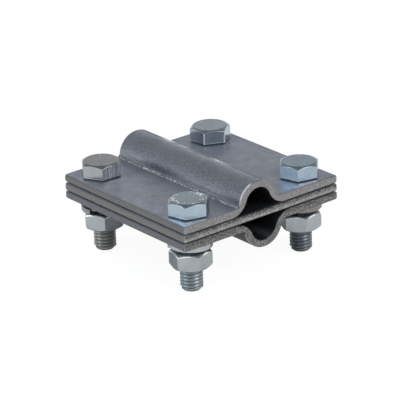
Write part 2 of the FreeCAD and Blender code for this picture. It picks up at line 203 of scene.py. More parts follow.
# The three plates: hot-dip galvanised steel sheet, sheared square and drilled
# for the bolts. The outer two have a half-round groove pressed out along them.
# Meshes are drawn in millimetres and made metres as they are finished.
mm = 0.001
plate_half_x, plate_half_y, sheet = 33.9, 33.6, 2.8
bolt_x, bolt_y, bolt_hole_radius = 24.4, 24.3, 4.5
upper_groove_x, lower_groove_x = -1.7, 0.5
groove_radius, ridge_radius, groove_height = 5.5, 8.0, 2.65
crease_radius, mouth_radius = 1.3, 7.0
crease_dip = math.asin((sheet + crease_radius - groove_height) / (ridge_radius + crease_radius))
crease_reach = (ridge_radius + crease_radius) * math.cos(crease_dip)
mouth_dip = math.asin((mouth_radius - groove_height) / (groove_radius + mouth_radius))
mouth_reach = (groove_radius + mouth_radius) * math.cos(mouth_dip)
mouth_steps, groove_steps, crease_steps, ridge_steps = 14, 28, 8, 40

# The rims are rolled by up to 1 mm, and fully near the corners, where the skin
# is divided at two insets from the edges.
rim_radius, rim_steps, corner_insets = 1.0, 4, (2.0, 4.4)
corner_rounding, corner_fading = 1.4, 3.4
drill_depth, drill_steps = 12, 64
corners = {"front_left": (-1, -1), "rear_left": (-1, 1), "front_right": (1, -1), "rear_right": (1, 1)}

# Colours: the sheet's zinc, its marks along the ridges, painted shade in the grooves and on the flanks, a
# painted glint on one rim, and the bare cuts.
zinc_dark = (0.32, 0.35, 0.42, 1)
zinc_light = (0.475, 0.505, 0.60, 1)
zinc_fleck = (0.50, 0.53, 0.60, 1)
zinc_streak = (0.22, 0.24, 0.29, 1)
right_side_painted_shade = (0.20, 0.22, 0.27, 1)
ridge_shade = (0.16, 0.17, 0.20, 1)
ridge_bright = (0.70, 0.74, 0.84, 1)
ridge_pit = (0.13, 0.14, 0.17, 1)
brow_dark = (0.165, 0.175, 0.20, 1)
brow_light = (0.225, 0.235, 0.265, 1)
brow_fleck = (0.28, 0.295, 0.33, 1)
belly_painted_shade = (0.21, 0.20, 0.165, 1)
rim_painted_glint = (0.92, 0.93, 0.96, 1)
groove_painted_shade = (0.02, 0.021, 0.022, 1)
cut_pit = (0.03, 0.03, 0.03, 1)
cut_glint = (0.75, 0.74, 0.72, 1)
zinc_metallic = 0.75

# Each plate's groove, its flat side's height, which way its groove goes (1 is up
# and -1 down), its rims' radii along Y and along X, each for the flat side and
# the other side, the tones of its cuts, how coarse its ends are, and its body.
plates = {
    "upper_plate": {
        "groove_x": upper_groove_x, "flat_side": 24.8, "direction": 1, "rims": ((0.8, 0.9), (0.3, 0.5)),
        "side_tone": (0.26, 0.25, 0.25, 1), "coarseness": 0.35,
        "end_tones": ((0.325, 0.31, 0.31, 1), (0.31, 0.30, 0.30, 1)),
        "body": "upper_plate_and_bolts",
    },
    "middle_plate": {
        "groove_x": None, "flat_side": 21.7, "direction": 1, "rims": ((0.2, 0.6), (0.4, 0.3)),
        "side_tone": (0.29, 0.275, 0.275, 1), "coarseness": 0.65,
        "end_tones": ((0.40, 0.385, 0.37, 1), (0.11, 0.105, 0.10, 1)),
        "body": "middle_plate",
    },
    "lower_plate": {
        "groove_x": lower_groove_x, "flat_side": 21.4, "direction": -1, "rims": ((0.2, 0.5), (0.3, 0.3)),
        "side_tone": (0.24, 0.245, 0.265, 1), "coarseness": 0.55,
        "end_tones": ((0.175, 0.17, 0.16, 1), (0.10, 0.095, 0.09, 1)),
        "body": "lower_plate_and_washers",
    },
}


def extrude_point(bm, point, to):
    """Draws a straight edge on from a point and returns its new end."""
    new = bmesh.ops.extrude_vert_indiv(bm, verts=[point])["verts"][0]
    new.co = to
    return new


def turn_point(bm, point, centre, degrees, steps):
    """Draws an arc on from a point, clockwise seen from the front, and returns its new end."""
    spun = bmesh.ops.spin(bm, geom=[point], cent=centre, axis=(0, 1, 0),
                          angle=math.radians(degrees), steps=steps)
    return next(item for item in spun["geom_last"] if isinstance(item, bmesh.types.BMVert))


def finish_mesh(bm, name):
    """Joins a mesh's seams, turns its faces outwards and shades it smooth."""
    bmesh.ops.remove_doubles(bm, verts=bm.verts, dist=0.0005)
    bmesh.ops.recalc_face_normals(bm, faces=bm.faces)
    bmesh.ops.scale(bm, vec=(mm, mm, mm), verts=bm.verts)
    mesh = bpy.data.meshes.new(name)
    bm.to_mesh(mesh)
    bm.free()
    mesh.shade_smooth()
    return mesh


def shade_evenly(piece):
    """Keeps the large faces flat, so that only their narrow rounded edges curve."""
    evening = piece.modifiers.new("even_shading", "WEIGHTED_NORMAL")
    evening.mode = "FACE_AREA"
    evening.weight = 100
    evening.thresh = 1e-8
    evening.keep_sharp = True
    return piece


def draw_plate_section(bm, groove_x):
    """The section of a plate at its front end, with its flat side on the ground."""
    front = -plate_half_y
    first = bm.verts.new((-plate_half_x, front, 0))
    point = first
    for inset in corner_insets:
        point = extrude_point(bm, point, (inset - plate_half_x, front, 0))
    if groove_x is not None:
        bend = (groove_x, front, groove_height)
        left, right, dip = groove_x - mouth_reach, groove_x + mouth_reach, math.degrees(mouth_dip)
        point = extrude_point(bm, point, (left, front, 0))
        point = turn_point(bm, point, (left, front, mouth_radius), dip - 90, mouth_steps)
        point = turn_point(bm, point, bend, 180 - dip * 2, groove_steps)
        point = turn_point(bm, point, (right, front, mouth_radius), dip - 90, mouth_steps)
    for inset in reversed(corner_insets):
        point = extrude_point(bm, point, (plate_half_x - inset, front, 0))
    point = extrude_point(bm, point, (plate_half_x, front, 0))
    point = extrude_point(bm, point, (plate_half_x, front, sheet))
    for inset in corner_insets:
        point = extrude_point(bm, point, (plate_half_x - inset, front, sheet))
    if groove_x is not None:
        left, right, dip = groove_x - crease_reach, groove_x + crease_reach, math.degrees(crease_dip)
        point = extrude_point(bm, point, (right, front, sheet))
        point = turn_point(bm, point, (right, front, sheet + crease_radius), 90 - dip, crease_steps)
        point = turn_point(bm, point, bend, dip * 2 - 180, ridge_steps)
        point = turn_point(bm, point, (left, front, sheet + crease_radius), 90 - dip, crease_steps)
    for inset in reversed(corner_insets):
        point = extrude_point(bm, point, (inset - plate_half_x, front, sheet))
    point = extrude_point(bm, point, (-plate_half_x, front, sheet))
    bm.edges.new((point, first))
    bmesh.ops.remove_doubles(bm, verts=bm.verts, dist=0.0005)
    return bmesh.ops.contextual_create(bm, geom=bm.edges[:])["faces"]


def runs_along_y(edge):
    return abs(edge.verts[0].co.y - edge.verts[1].co.y) > 1


def round_rims(bm, rims):
    """Weighs the corners and rims for a bevel, and rounds the rims fully near the corners."""
    bm.normal_update()
    rounding = bm.edges.layers.float.new("bevel_weight_edge")
    for edge in bm.edges:
        if edge.calc_face_angle(0) < math.radians(60):
            continue
        facing = max((face.normal.z for face in edge.link_faces), key=abs)
        if abs(facing) < 0.001:
            edge[rounding] = 1.0
        else:
            rim = rims[0 if runs_along_y(edge) else 1][0 if facing < 0 else 1]
            middle = (edge.verts[0].co + edge.verts[1].co) / 2
            from_corner = math.hypot(plate_half_x - abs(middle.x), plate_half_y - abs(middle.y))
            near_corner = min(1.0, max(0.0, corner_rounding - from_corner / corner_fading))
            edge[rounding] = rim + (1.0 - rim) * near_corner


def make_plate(name, groove_x, flat_side, direction, rims):
    """A drilled plate, its rims rolled before the holes are cut."""
    bm = bmesh.new()
    section = draw_plate_section(bm, groove_x)
    grown = bmesh.ops.extrude_face_region(bm, geom=section, use_keep_orig=True)["geom"]
    rear = [item for item in grown if isinstance(item, bmesh.types.BMVert)]
    bmesh.ops.translate(bm, vec=(0, 2 * plate_half_y, 0), verts=rear)
    for inset in corner_insets:
        for side in (-1, 1):
            skin = [edge for edge in bm.edges if runs_along_y(edge)]
            skin += [face for face in bm.faces if abs(face.normal.y) < 0.5]
            bmesh.ops.bisect_plane(bm, geom=skin, dist=0.0001, plane_no=(0, 1, 0),
                                   plane_co=(0, side * (plate_half_y - inset), 0))
    bmesh.ops.recalc_face_normals(bm, faces=bm.faces)
    round_rims(bm, rims)
    place = Matrix.Translation((0, 0, flat_side)) @ Matrix.Diagonal((1, 1, direction, 1))
    bmesh.ops.transform(bm, matrix=place, verts=bm.verts)
    plate = link_object(name, finish_mesh(bm, name + "_blank"))
    rolling = plate.modifiers.new("rolled_rims", "BEVEL")
    rolling.limit_method = "WEIGHT"
    rolling.width = rim_radius * mm
    rolling.segments = rim_steps
    rolling.use_clamp_overlap = False

    drill = bmesh.new()
    for side_x, side_y in corners.values():
        hole = Matrix.Translation((side_x * bolt_x, side_y * bolt_y, flat_side))
        bmesh.ops.create_cone(drill, cap_ends=True, segments=drill_steps, radius1=bolt_hole_radius,
                              radius2=bolt_hole_radius, depth=drill_depth, matrix=hole)
    cutter = link_object(name + "_drill", finish_mesh(drill, name + "_drill"))
    drilling = plate.modifiers.new("drilling", "BOOLEAN")
    drilling.object = cutter
    drilling.operation = "DIFFERENCE"
    drilling.solver = "EXACT"
    drilled = bpy.data.meshes.new_from_object(plate.evaluated_get(bpy.context.evaluated_depsgraph_get()))
    drilled.name = name
    bpy.data.objects.remove(cutter)
    plate.modifiers.clear()
    plate.data = drilled
    drilled.set_sharp_from_angle(angle=math.radians(50))
    return shade_evenly(plate)


def noise(owner, place, fineness, detail=3.0, roughness=0.55):
    """A grain whose fineness, in cells to the metre, may differ along X, Y and Z."""
    if isinstance(fineness, tuple):
        place = add_node(owner, "Mapping", {"Vector": place, "Scale": fineness}).outputs[0]
        fineness = 1
    return add_node(owner, "TexNoise", {"Vector": place, "Scale": fineness, "Detail": detail,
                                        "Roughness": roughness}).outputs["Fac"]


def distance(owner, first, second):
    """How far a point lies from an axis, by its two offsets from it."""
    offset = add_node(owner, "CombineXYZ", {0: first, 1: second}).outputs[0]
    return add_node(owner, "VectorMath", {0: offset}, operation="LENGTH").outputs["Value"]


def start_zinc(name):
    """A new material, with its place for the grain and its X, Y and Z in millimetres."""
    zinc = new_material(name)
    place = add_node(zinc, "TexCoord").outputs["Object"]
    measured = add_node(zinc, "VectorMath", {0: place, "Scale": 1 / mm}, operation="SCALE").outputs[0]
    return [zinc, place, *add_node(zinc, "SeparateXYZ", {0: measured}).outputs]


def finish_zinc(zinc, colour, metallic, roughness, height, strength, depth):
    """Adds the metal itself, with its grain as a bump of a depth in metres."""
    bump = add_node(zinc, "Bump", {"Height": height, "Strength": strength, "Distance": depth})
    metal = add_node(zinc, "BsdfPrincipled", {"Base Color": colour, "Metallic": metallic,
                                              "Roughness": roughness, "Normal": bump.outputs[0]})
    add_node(zinc, "OutputMaterial", {"Surface": metal.outputs[0]})


def paint_ridge(zinc, place, y, off_axis, lift, direction, clouds, flecks, colour):
    """Painted shade low on the flanks, flecks along the bends, white flecks on the crest and speckles
    between, a painted glint on the front rim, painted shade under a downward ridge, and where the groove
    is to be painted dark.

    Returns the colour, where the skin is inside the groove, where it is dull and where it is matt.
    """
    away = combine(zinc, "ABSOLUTE", off_axis)
    rise = combine(zinc, "SUBTRACT", lift, sheet)
    from_axis = distance(zinc, off_axis, combine(zinc, "SUBTRACT", lift, groove_height))
    from_mouth = distance(zinc, combine(zinc, "SUBTRACT", away, mouth_reach),
                          combine(zinc, "SUBTRACT", lift, mouth_radius))
    flared = times(zinc, ramp(zinc, from_mouth, mouth_radius - 0.6, mouth_radius - 0.2),
                   ramp(zinc, away, mouth_reach - 0.2, mouth_reach - 2.2), ramp(zinc, lift, 5.2, 4.8))
    inside = combine(zinc, "MAXIMUM", flared,
                     ramp(zinc, from_axis, groove_radius + 0.7, groove_radius + 0.2))
    outside = ramp(zinc, rise, -0.2, 0.0)

    # Painted shade down the ridge's outer flanks, full low on the flank and fading towards the crown.
    shade = times(zinc, outside, ramp(zinc, away, crease_reach + 0.2, crease_reach - 0.6),
                  ramp(zinc, rise, 10.0, 4.0))
    colour = mix(zinc, times(zinc, shade, 0.58), colour, ridge_shade)
    speckles = noise(zinc, place, 2300, 3, 0.7)
    speckled = times(zinc, outside, ramp(zinc, rise, 0.2, 1.2),
                     ramp(zinc, off_axis, -6.0, -1.0, 0.9, 0.45))
    light_speckles = times(zinc, speckled, ramp(zinc, speckles, 0.52, 0.62, 0.0, 0.45))
    dark_speckles = times(zinc, speckled, ramp(zinc, speckles, 0.38, 0.48, 0.5, 0.0))
    colour = mix(zinc, light_speckles, colour, ridge_bright)
    colour = mix(zinc, dark_speckles, colour, ridge_pit)

    brow = times(zinc, between(zinc, off_axis, 0.4, 2.2, 4.8, 6.2), ramp(zinc, rise, 3.0, 4.6))
    brow_colour = mix(zinc, clouds, brow_dark, brow_light)
    brow_colour = mix(zinc, ramp(zinc, speckles, 0.40, 0.62, 0.0, 0.5), brow_colour, brow_fleck)
    colour = mix(zinc, brow, colour, brow_colour)

    bend = times(zinc, outside, ramp(zinc, rise, 1.2, 0.8), between(
        zinc, away, crease_reach - 0.95, crease_reach - 0.6, crease_reach - 0.1, crease_reach + 0.2))
    patches = ramp(zinc, noise(zinc, place, (300, 200, 300), 2), 0.42, 0.56, 0.55, 1.0)
    crumbs = ramp(zinc, noise(zinc, place, (1600, 1250, 1600), 3, 0.7), 0.49, 0.55)
    # White flecks, in streaks, along the middle of the crest.
    crest = times(zinc, between(zinc, off_axis, 0.6, 3.0, 4.0, 4.6), ramp(zinc, rise, 4.0, 4.6),
                  between(zinc, y, -18, -12, 19, 24))
    crest_streaks = noise(zinc, place, (3000, 210, 3000), 3, 0.7)
    white_patches = times(zinc, noise(zinc, place, (40, 190, 40), 2), 0.7)
    crest_flecks = ramp(zinc, combine(zinc, "ADD", crest_streaks, white_patches), 0.875, 0.945)
    bright = combine(zinc, "MAXIMUM", times(zinc, crumbs, patches, bend), times(zinc, crest, crest_flecks))
    colour = mix(zinc, bright, colour, white)

    # Painted shade: on a downward ridge, the underside of the loop is darkened and tinted olive.
    if direction < 0:
        shaded_belly = times(zinc, ramp(zinc, rise, -0.2, 0.8),
                      ramp(zinc, from_axis, ridge_radius - 0.6, ridge_radius - 0.2), 0.8)
        colour = mix(zinc, shaded_belly, colour, belly_painted_shade)
    # A painted glint along the front rim of the ridge's left flank.
    rim = times(zinc, ramp(zinc, from_axis, ridge_radius - 0.4, ridge_radius - 0.1),
                ramp(zinc, off_axis, -2.0, -3.4), ramp(zinc, lift, 3.4, 4.4),
                ramp(zinc, y, 1.1 - plate_half_y, 0.6 - plate_half_y))
    colour = mix(zinc, times(zinc, rim, ramp(zinc, flecks, 0.0, 0.5, 0.6, 1.0)), colour, rim_painted_glint)
    dull = combine(zinc, "MAXIMUM", combine(zinc, "MAXIMUM", bright, rim), brow)
    return colour, inside, dull, brow


def paint_plate(name, groove_x, flat_side, direction, side_tone, end_tones, coarseness):
    """Mottled zinc, darker towards +X as painted shade, grainy on the sheared edges, with flecks along
    the bends, and painted shade in the grooves.
    """
    zinc, place, x, y, z = start_zinc(name)
    across, along = combine(zinc, "ABSOLUTE", x), combine(zinc, "ABSOLUTE", y)

    clouds = ramp(zinc, noise(zinc, place, 130, 7, 0.75), 0.38, 0.62)
    flecks = ramp(zinc, noise(zinc, place, 1150, 4, 0.7), 0.40, 0.60)
    streaks = ramp(zinc, noise(zinc, place, (150, 1500, 150), 3), 0.36, 0.66)
    colour = mix(zinc, clouds, zinc_dark, zinc_light)
    colour = mix(zinc, times(zinc, flecks, 0.45), colour, zinc_fleck)
    colour = mix(zinc, times(zinc, streaks, 0.28), colour, zinc_streak)
    # Painted shade: the zinc grows darker towards +X.
    colour = mix(zinc, ramp(zinc, x, -30, 30, 0.0, 0.36), colour, right_side_painted_shade)
    roughness = ramp(zinc, clouds, 0.0, 1.0, 0.36, 0.27)
    height = combine(zinc, "ADD", times(zinc, noise(zinc, place, 260, 2), 0.6),
                     times(zinc, noise(zinc, place, 1500, 3), 0.4))

    metallic = zinc_metallic
    if groove_x is None:
        top = flat_side + sheet
        off_upper = combine(zinc, "ABSOLUTE", combine(zinc, "SUBTRACT", x, upper_groove_x))
        off_lower = combine(zinc, "ABSOLUTE", combine(zinc, "SUBTRACT", x, lower_groove_x))
        inside = combine(
            zinc, "MAXIMUM", times(zinc, ramp(zinc, off_upper, 10, 7), ramp(zinc, z, top - 0.3, top)),
            times(zinc, ramp(zinc, off_lower, 10, 7), ramp(zinc, z, flat_side + 0.3, flat_side)))
    else:
        off_axis = combine(zinc, "SUBTRACT", x, groove_x)
        lift = times(zinc, combine(zinc, "SUBTRACT", z, flat_side), float(direction))
        colour, inside, dull, matt = paint_ridge(
            zinc, place, y, off_axis, lift, direction, clouds, flecks, colour)
        metallic = ramp(zinc, dull, 0.0, 1.0, zinc_metallic, 0.0)
        roughness = combine(zinc, "MAXIMUM", roughness, times(zinc, matt, 0.9))
    # Painted shade inside the grooves, a little lighter towards their open ends.
    inside = times(zinc, inside, ramp(zinc, along, plate_half_y - 0.2, plate_half_y - 0.6))
    colour = mix(zinc, times(zinc, inside, ramp(zinc, along, 20, 33, 0.93, 0.80)), colour, groove_painted_shade)

    grain = noise(zinc, place, (2700, 2700, 2200), 4, 0.85)
    side = ramp(zinc, across, plate_half_x - 0.45, plate_half_x - 0.15)
    side_dark = [part * 0.62 for part in side_tone[:3]] + [1]
    colour = mix(zinc, side, colour, mix(zinc, ramp(zinc, grain, 0.38, 0.62), side_dark, side_tone))
    underside = min(flat_side, flat_side + direction * sheet)
    depth = combine(zinc, "DIVIDE", combine(zinc, "SUBTRACT", z, underside), sheet)
    fracture = ramp(zinc, combine(zinc, "ADD", depth, times(zinc, grain, 0.6)), 0.72, 1.02)
    if groove_x is not None:
        fracture = times(zinc, fracture, ramp(zinc, combine(zinc, "ABSOLUTE", off_axis), 9.0, 11.0))
    end_colour = mix(zinc, fracture, *end_tones)
    end_colour = mix(zinc, ramp(zinc, grain, 0.40, 0.54, coarseness, 0.0), end_colour, cut_pit)
    end_colour = mix(zinc, ramp(zinc, grain, 0.52, 0.60, 0.0, coarseness), end_colour, cut_glint)
    end = ramp(zinc, along, plate_half_y - 0.40, plate_half_y - 0.12)
    colour = mix(zinc, end, colour, end_colour)
    cut = combine(zinc, "MAXIMUM", side, end)
    roughness = combine(zinc, "MAXIMUM", roughness, times(zinc, cut, 0.5))
    height = combine(zinc, "ADD", height, times(zinc, grain, cut, 0.8))
    finish_zinc(zinc, colour, metallic, roughness, height, strength=0.7, depth=0.00012)
    return zinc


for node, plan in plates.items():
    shape = [plan[part] for part in ("groove_x", "flat_side", "direction")]
    tones = [plan[part] for part in ("side_tone", "end_tones", "coarseness")]
    plate = make_plate("zinc_" + node, *shape, plan["rims"])
    plate.data.materials.clear()
    plate.data.materials.append(paint_plate("zinc_" + node, *shape, *tones))
    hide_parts(node)
    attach(plate, plan["body"])

# The four bolts: M8 hexagon bolts, forged, with a rolled right-hand thread up
# to the head and bright zinc plating. Their heads press the upper plate down.
head_underside, head_height, head_flats, head_chamfer_radius = 27.6, 5.4, 13.0, 5.9
washer_face_height, washer_face_radius = 0.35, 5.8
thread_radius, thread_root_radius, thread_pitch, thread_steps = 3.95, 3.17, 1.25, 48
thread_flank_end, thread_root_middle, thread_root_end, thread_crest_width = 0.58, 0.71, 0.84, 0.16
thread_root_rounding, tip_radius = 0.04, 2.95
hexagon_side_steps, corner_half_angle = 16, 29.1
chamfer_slope = math.tan(math.radians(30))
plating_speck = (0.22, 0.23, 0.24, 1)
thread_root_dark = (0.06, 0.065, 0.07, 1)
score_dark = (0.12, 0.13, 0.14, 1)
score_light = (0.95, 0.97, 1.0, 1)
painted_reflection_blue = (0.66, 0.84, 1.0, 1)
plating_bump, plating_bump_depth = 0.35, 0.00004

# How each bolt is turned, its plating's bright and dull tones, its thread's tone
# and the marks on its head, with the direction that the scored flat, or the flat
# with a painted blue reflection, faces. The other heads get painted glints.
bolts = {
    "front_left": {"turn": 43.4, "head_marks": "painted_glint_flecks", "thread": (0.38, 0.44, 0.47, 1),
                   "tones": ((0.47, 0.575, 0.645, 1), (0.40, 0.485, 0.545, 1))},
    "rear_left": {"turn": 56.6, "head_marks": "scored", "marked_flat": 266.6, "thread": (0.36, 0.35, 0.32, 1),
                  "tones": ((0.46, 0.48, 0.50, 1), (0.39, 0.40, 0.42, 1))},
    "front_right": {"turn": 46.5, "head_marks": "painted_reflection", "marked_flat": 196.5, "thread": (0.15, 0.175, 0.185, 1),
                    "tones": ((0.44, 0.53, 0.62, 1), (0.37, 0.45, 0.53, 1))},
    "rear_right": {"turn": 34.2, "head_marks": "painted_glints", "thread": (0.36, 0.40, 0.42, 1),
                   "tones": ((0.50, 0.58, 0.65, 1), (0.41, 0.48, 0.54, 1))},
}


def start_hexagon(bm, radius, height):
    """A ring of points, the same number on each side of a hexagon and none on its corners."""
    ring = bmesh.ops.create_circle(bm, segments=6 * hexagon_side_steps, radius=radius)["verts"]
    ring.sort(key=lambda vert: math.atan2(vert.co.y, vert.co.x))
    for index, vert in enumerate(ring):
        side, step = divmod(index, hexagon_side_steps)
        along_side = step / ((hexagon_side_steps - 1) / 2) - 1
        turn = math.radians(30 + 60 * side + corner_half_angle * along_side)
        vert.co = (radius * math.cos(turn), radius * math.sin(turn), height)
    return list({edge for vert in ring for edge in vert.link_edges})


def add_rings(bm, ring, rings):
    """Draws the skin on through rings, whose radius may depend on the turn and height on the radius."""
    for radius, height in rings:
        grown = bmesh.ops.extrude_edge_only(bm, edges=ring)["geom"]
        for vert in (item for item in grown if isinstance(item, bmesh.types.BMVert)):
            turn = math.atan2(vert.co.y, vert.co.x)
            reach = radius(turn) if callable(radius) else radius
            vert.co = (reach * math.cos(turn), reach * math.sin(turn),
                       height(reach) if callable(height) else height)
        ring = [item for item in grown if isinstance(item, bmesh.types.BMEdge)]
    return ring


def hexagon_radius(flats, inset=0.0):
    """The reach of a hexagon at a turn, with one corner at turn 0."""
    def reach(turn):
        from_flat = math.radians(math.degrees(turn) % 60 - 30)
        return flats / 2 / math.cos(from_flat) - inset
    return reach


def make_thread(bm, top):
    """A threaded rod from the ground up to a height, its end turned off at 45 degrees."""
    turns = math.ceil(top / thread_pitch) + 2
    flank_foot = thread_root_radius + thread_root_rounding
    profile = ((thread_radius, 0.0), (thread_radius, thread_crest_width), (flank_foot, thread_flank_end),
               (thread_root_radius, thread_root_middle), (flank_foot, thread_root_end))
    rod = bmesh.new()
    point = rod.verts.new((thread_radius, 0, -thread_pitch))
    for turn in range(turns):
        for radius, rise in profile:
            if turn or rise:
                level = (turn - 1 + rise / thread_pitch) * thread_pitch
                point = extrude_point(rod, point, (radius, 0, level))
    bmesh.ops.spin(rod, geom=rod.verts[:] + rod.edges[:], cent=(0, 0, 0), axis=(0, 0, 1),
                   angle=math.radians(360), steps=thread_steps, dvec=(0, 0, thread_pitch / thread_steps))
    bmesh.ops.remove_doubles(rod, verts=rod.verts, dist=0.002)
    for height, normal in ((0, (0, 0, -1)), (top, (0, 0, 1))):
        bmesh.ops.bisect_plane(rod, geom=rod.verts[:] + rod.edges[:] + rod.faces[:], dist=0.0001,
                               plane_co=(0, 0, height), plane_no=normal, clear_outer=True)
    for vert in rod.verts:
        reach = math.hypot(vert.co.x, vert.co.y)
        limit = tip_radius + max(0, vert.co.z)
        if reach > limit:
            vert.co.x *= limit / reach
            vert.co.y *= limit / reach
    bmesh.ops.holes_fill(rod, edges=rod.edges[:])
    bmesh.ops.recalc_face_normals(rod, faces=rod.faces)
    rod_mesh = bpy.data.meshes.new("rod")
    rod.to_mesh(rod_mesh)
    rod.free()
    bm.from_mesh(rod_mesh)
    bpy.data.meshes.remove(rod_mesh)


def stand_on_bolt(bm, name, side_x, side_y, turn, height=0.0):
    """Turns a finished mesh, moves it to its bolt's axis and makes it a piece."""
    turned = Matrix.Rotation(math.radians(turn), 3, "Z")
    bmesh.ops.rotate(bm, cent=(0, 0, 0), matrix=turned, verts=bm.verts)
    bmesh.ops.translate(bm, vec=(side_x * bolt_x, side_y * bolt_y, height), verts=bm.verts)
    return shade_evenly(link_object(name, finish_mesh(bm, name)))


def make_bolt(name, side_x, side_y, turn):
    """A bolt whose head is drawn from its washer face up over a forged edge and the chamfer."""
    bm = bmesh.new()
    flats = hexagon_radius(head_flats)

    def chamfer(reach):
        return head_height - (reach - head_chamfer_radius) * chamfer_slope

    ring = start_hexagon(bm, washer_face_radius - 0.1, 0)
    bmesh.ops.contextual_create(bm, geom=ring)
    ring = add_rings(bm, ring, (
        # The washer face, and the lip that forging leaves round the underside.
        (washer_face_radius, 0.08),
        (washer_face_radius, washer_face_height),
        (hexagon_radius(head_flats, 0.05), washer_face_height),
        (hexagon_radius(head_flats, -0.09), washer_face_height + 0.10),
        (hexagon_radius(head_flats, -0.07), washer_face_height + 0.16),
        # Up the flats, and over the 30-degree chamfer to a slightly hollow top.
        (flats, washer_face_height + 0.42),
        (flats, lambda reach: chamfer(reach) - 0.14),
        (hexagon_radius(head_flats, 0.12), chamfer),
        (head_chamfer_radius + 0.15, chamfer),
        (head_chamfer_radius - 0.2, head_height),
        (head_chamfer_radius * 0.5, head_height - 0.03),
    ))
    bmesh.ops.contextual_create(bm, geom=ring)
    bmesh.ops.translate(bm, vec=(0, 0, head_underside), verts=bm.verts)
    make_thread(bm, head_underside + 0.3)
    return stand_on_bolt(bm, name, side_x, side_y, turn)


def paint_plating(zinc, place, bright, dull):
    """Zinc plating with draw lines down the flats: its colour, roughness and grain."""
    clouds = ramp(zinc, noise(zinc, place, 240, 4, 0.6), 0.32, 0.68)
    lines = noise(zinc, place, (1500, 1500, 110), 3, 0.6)
    specks = ramp(zinc, noise(zinc, place, 2300, 2), 0.60, 0.72)
    colour = mix(zinc, clouds, dull, bright)
    colour = mix(zinc, ramp(zinc, lines, 0.35, 0.7, 0.0, 0.3), colour, dull)
    colour = mix(zinc, times(zinc, specks, 0.35), colour, plating_speck)
    roughness = combine(zinc, "ADD", ramp(zinc, clouds, 0.0, 1.0, 0.14, 0.22), times(zinc, lines, 0.08))
    height = combine(zinc, "ADD", times(zinc, lines, 0.5), noise(zinc, place, 900, 3))
    return colour, roughness, height


def find_facet(zinc, across, along, marked_flat):
    """1 on the flat of a bolt's head that faces a direction, and 0 elsewhere."""
    turn = math.radians(marked_flat)
    reach = combine(zinc, "ADD", times(zinc, across, math.cos(turn)), times(zinc, along, math.sin(turn)))
    return ramp(zinc, reach, head_flats / 2 - 0.08, head_flats / 2 - 0.03)


def paint_bolt(name, side_x, side_y, tones, thread, head_marks, marked_flat=None):
    """A plated bolt with a thread of its own tone and one kind of mark on its head.

    The head has one scored flat, one flat with a painted blue reflection, or painted
    glints: white flecks round its top, or bright corners.
    """
    zinc, place, x, y, z = start_zinc(name)
    colour, roughness, height = paint_plating(zinc, place, *tones)
    across = combine(zinc, "SUBTRACT", x, side_x * bolt_x)
    along = combine(zinc, "SUBTRACT", y, side_y * bolt_y)
    reach = distance(zinc, across, along)
    shank = times(zinc, ramp(zinc, reach, 4.2, 4.05),
                  ramp(zinc, z, head_underside + 0.2, head_underside - 0.1))
    thinned = ramp(zinc, noise(zinc, place, 420, 4, 0.7), 0.38, 0.62, 0.55, 1.0)
    colour = mix(zinc, times(zinc, shank, thinned), colour, thread)
    # Darker towards the thread's roots.
    colour = mix(zinc, times(zinc, shank, ramp(zinc, reach, 3.7, 3.2, 0.0, 0.55)), colour, thread_root_dark)
    roughness = combine(zinc, "ADD", roughness, times(zinc, shank, 0.16))
    metallic = ramp(zinc, shank, 0.0, 1.0, 1.0, 0.8)

    if head_marks == "scored":
        facet = find_facet(zinc, across, along, marked_flat)
        scores = noise(zinc, place, (2100, 2100, 12), 4, 0.8)
        dark_scores = times(zinc, facet, ramp(zinc, scores, 0.50, 0.40, 0.0, 0.8))
        light_scores = times(zinc, facet, ramp(zinc, scores, 0.54, 0.62, 0.0, 0.6))
        colour = mix(zinc, dark_scores, colour, score_dark)
        colour = mix(zinc, light_scores, colour, score_light)
        height = combine(zinc, "ADD", height, times(zinc, facet, scores, 3.0))
    elif head_marks == "painted_reflection":
        # A painted reflection: one flat is made bright and blue, and less metallic.
        reflection_mask = times(zinc, find_facet(zinc, across, along, marked_flat),
                     ramp(zinc, noise(zinc, place, 600, 3), 0.3, 0.7, 0.8, 1.0))
        colour = mix(zinc, reflection_mask, colour, painted_reflection_blue)
        metallic = combine(zinc, "SUBTRACT", metallic, times(zinc, reflection_mask, 0.85))
    else:
        # Painted glints: white flecks round the top, or white corners, made less metallic.
        if head_marks == "painted_glint_flecks":
            head_top = head_underside + head_height
            white_patches = times(zinc, between(zinc, reach, 4.0, 4.4, 5.6, 6.0),
                         ramp(zinc, z, head_top - 0.3, head_top - 0.1),
                         ramp(zinc, noise(zinc, place, 1050, 2), 0.54, 0.58),
                         ramp(zinc, noise(zinc, place, 260, 1), 0.44, 0.52))
        else:
            white_patches = times(zinc, ramp(zinc, reach, 7.33, 7.42),
                         ramp(zinc, z, head_underside + 0.2, head_underside + 0.5),
                         ramp(zinc, noise(zinc, place, 700, 2), 0.36, 0.48))
        colour = mix(zinc, white_patches, colour, white)
        metallic = combine(zinc, "SUBTRACT", metallic, white_patches)
    finish_zinc(zinc, colour, metallic, roughness, height, plating_bump, plating_bump_depth)
    return zinc


for corner, (side_x, side_y) in corners.items():
    looks = dict(bolts[corner])
    bolt = make_bolt("hex_bolt_" + corner, side_x, side_y, looks.pop("turn"))
    bolt.data.materials.append(paint_bolt("bolt_zinc_" + corner, side_x, side_y, **looks))
    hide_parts("bolt_" + corner)
    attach(bolt, "upper_plate_and_bolts")

# The four spring washers: rings coiled left-handed from square-drawn spring
# steel wire, zinc plated, and cut through so that the two ends stand apart.
washer_inner, washer_outer, washer_thickness, washer_edge_radius = 4.25, 7.7, 2.0, 0.28
washer_low, washer_rise, washer_length, washer_steps = 14.75, 1.8, 355, 116
washer_metallic = 0.95

